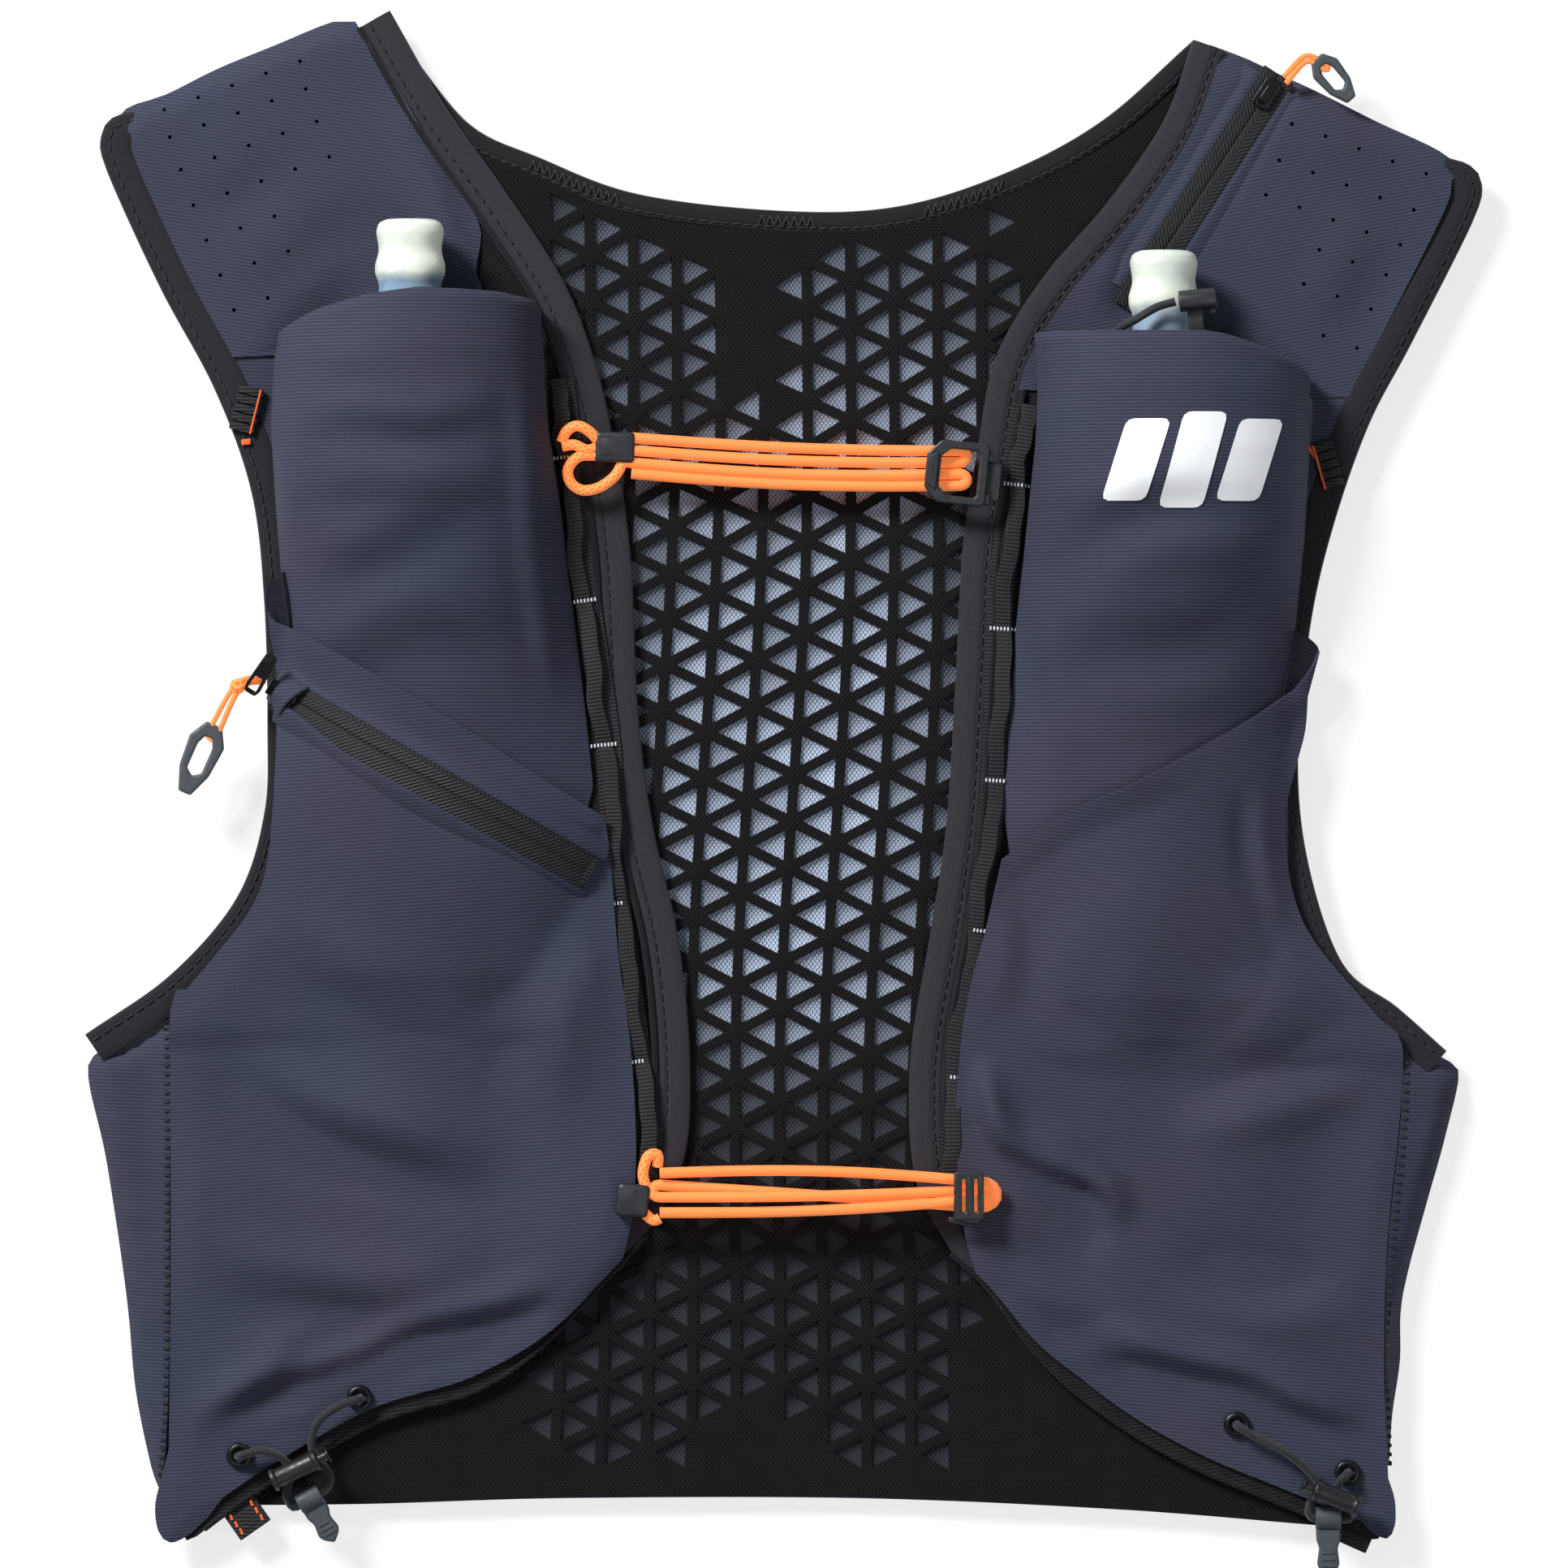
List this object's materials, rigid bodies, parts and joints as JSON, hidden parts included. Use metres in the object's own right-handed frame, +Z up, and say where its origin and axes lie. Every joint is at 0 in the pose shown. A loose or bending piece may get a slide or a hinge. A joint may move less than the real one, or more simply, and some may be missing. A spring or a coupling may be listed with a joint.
{
  "type": "hydration pack",
  "caption": "Running hydration vest lying flat on its back, with soft flasks in chest pockets, bungee chest straps, zips and hem cord locks.",
  "frame": {"origin": "on the flat outer face of the back panel, at the middle of the vest", "axes": "+X to the right of someone looking down at the front, +Y towards the shoulders, +Z up from the table, out of the front"},
  "size_m": [0.3825, 0.4291, 0.0411],
  "materials": {
    "stretch_fabric": "matt ribbed stretch weave",
    "mesh_fabric": "open knitted mesh",
    "liner": "smooth light film fabric",
    "binding": "soft brushed knit",
    "webbing": "ribbed woven tape",
    "dark_metal": "dark satin coating",
    "spring_steel": "bright wire",
    "orange_cord": "braided sheath",
    "black_cord": "braided sheath",
    "rubber": "satin moulded",
    "flask_film": "translucent satin film",
    "flask_cap": "moulded, satin",
    "valve_silicone": "translucent silicone",
    "hardware_plastic": "satin moulded"
  },
  "bodies": {
    "vest": {"back_outer_panel": "stretch_fabric", "reservoir_sleeve": "liner", "back_mesh_panel": "mesh_fabric", "neck_binding": "binding", "chest_zip_tape": "webbing", "shoulder_zip_tape": "webbing", "shoulder_strap_left": "stretch_fabric", "shoulder_strap_right": "stretch_fabric", "front_panel_left": "mesh_fabric", "front_panel_right": "mesh_fabric", "side_panel_left": "stretch_fabric", "side_panel_right": "stretch_fabric", "flask_pocket_left": "stretch_fabric", "flask_pocket_right": "stretch_fabric", "lower_pocket_left": "stretch_fabric", "lower_pocket_right": "stretch_fabric", "front_edge_binding_left": "binding", "front_edge_binding_right": "binding", "armhole_binding_left": "binding", "armhole_binding_right": "binding", "daisy_webbing_left": "webbing", "daisy_webbing_right": "webbing", "side_adjuster_left": "webbing", "side_adjuster_right": "webbing", "pole_loop_left": "webbing", "pole_loop_right": "webbing", "hem_cord_left": "black_cord", "hem_cord_right": "black_cord", "cord_lock_barrel_left": "hardware_plastic", "cord_lock_barrel_right": "hardware_plastic", "cord_lock_spring_left": "spring_steel", "cord_lock_spring_right": "spring_steel", "eyelet_left_outer": "dark_metal", "eyelet_left_inner": "dark_metal", "eyelet_right_outer": "dark_metal", "eyelet_right_inner": "dark_metal"},
    "flask_left": {"flask_body_left": "flask_film", "flask_cap_left": "flask_cap", "bite_valve_left": "valve_silicone"},
    "flask_right": {"flask_body_right": "flask_film", "flask_cap_right": "flask_cap", "bite_valve_right": "valve_silicone", "retention_cord": "black_cord", "retention_hook": "hardware_plastic"},
    "chest_slider": {"chest_zip_slider": "dark_metal"},
    "chest_pull": {"chest_zip_cord": "orange_cord", "chest_zip_tab": "hardware_plastic"},
    "shoulder_slider": {"shoulder_zip_slider": "dark_metal"},
    "shoulder_pull": {"shoulder_zip_cord": "orange_cord", "shoulder_zip_tab": "hardware_plastic"},
    "upper_anchor": {"upper_strap_crimp": "hardware_plastic"},
    "upper_strap": {"upper_strap_bungee": "orange_cord", "upper_strap_hook": "hardware_plastic"},
    "lower_anchor": {"lower_strap_crimp": "hardware_plastic"},
    "lower_strap": {"lower_strap_bungee": "orange_cord", "lower_strap_buckle": "hardware_plastic"},
    "lock_button_left": {"cord_lock_button_left": "hardware_plastic"},
    "lock_button_right": {"cord_lock_button_right": "hardware_plastic"},
    "hem_tab_left": {"hem_pull_tab_left": "rubber"},
    "hem_tab_right": {"hem_pull_tab_right": "rubber"}
  },
  "joints": [
    {"name": "flask_left_lift", "type": "slide", "parent": "vest", "child": "flask_left", "axis": [0, 1, 0], "range_m": [0, 0.12]},
    {"name": "flask_right_lift", "type": "slide", "parent": "vest", "child": "flask_right", "axis": [0, 1, 0], "range_m": [0, 0.06]},
    {"name": "chest_zip_travel", "type": "hinge", "parent": "vest", "child": "chest_slider", "pos_m": [-0.09578, 0.00087, -0.07505], "axis": [0.5027, 0.8645, 0], "range_deg": [0, 48]},
    {"name": "chest_pull_swing", "type": "hinge", "parent": "chest_slider", "child": "chest_pull", "pos_m": [-0.13511, 0.02374, 0.02086], "axis": [-0.781, 0.4542, -0.4286], "range_deg": [0, 115]},
    {"name": "shoulder_zip_travel", "type": "slide", "parent": "vest", "child": "shoulder_slider", "axis": [-0.5463, -0.8376, 0], "range_m": [0, 0.02]},
    {"name": "shoulder_pull_swing", "type": "hinge", "parent": "shoulder_slider", "child": "shoulder_pull", "pos_m": [0.13216, 0.1891, 0.0129], "axis": [-0.5463, -0.8376, 0], "range_deg": [0, 110]},
    {"name": "upper_strap_shift", "type": "slide", "parent": "vest", "child": "upper_anchor", "axis": [0, 1, 0], "range_m": [-0.01, 0.01]},
    {"name": "upper_strap_open", "type": "hinge", "parent": "upper_anchor", "child": "upper_strap", "pos_m": [-0.0405, 0.091, 0.0162], "axis": [0, -1, 0], "range_deg": [0, 120]},
    {"name": "lower_strap_shift", "type": "slide", "parent": "vest", "child": "lower_anchor", "axis": [0, 1, 0], "range_m": [-0.008, 0.01]},
    {"name": "lower_strap_open", "type": "hinge", "parent": "lower_anchor", "child": "lower_strap", "pos_m": [-0.0362, -0.113, 0.0183], "axis": [0, -1, 0], "range_deg": [0, 120]},
    {"name": "lock_left_press", "type": "slide", "parent": "vest", "child": "lock_button_left", "axis": [-0.9056, -0.4241, 0], "range_m": [0, 0.0022], "stiffness_N_per_m": 300, "springref_m": -0.003},
    {"name": "lock_right_press", "type": "slide", "parent": "vest", "child": "lock_button_right", "axis": [0.9256, -0.3786, 0], "range_m": [0, 0.0022], "stiffness_N_per_m": 300, "springref_m": -0.003},
    {"name": "hem_tab_left_swing", "type": "hinge", "parent": "vest", "child": "hem_tab_left", "pos_m": [-0.1298, -0.1952, 0.0136], "axis": [-0.866, -0.5, 0], "range_deg": [0, 90]},
    {"name": "hem_tab_right_swing", "type": "hinge", "parent": "vest", "child": "hem_tab_right", "pos_m": [0.1488, -0.2006, 0.0136], "axis": [-1, 0, 0], "range_deg": [0, 90]}
  ]
}
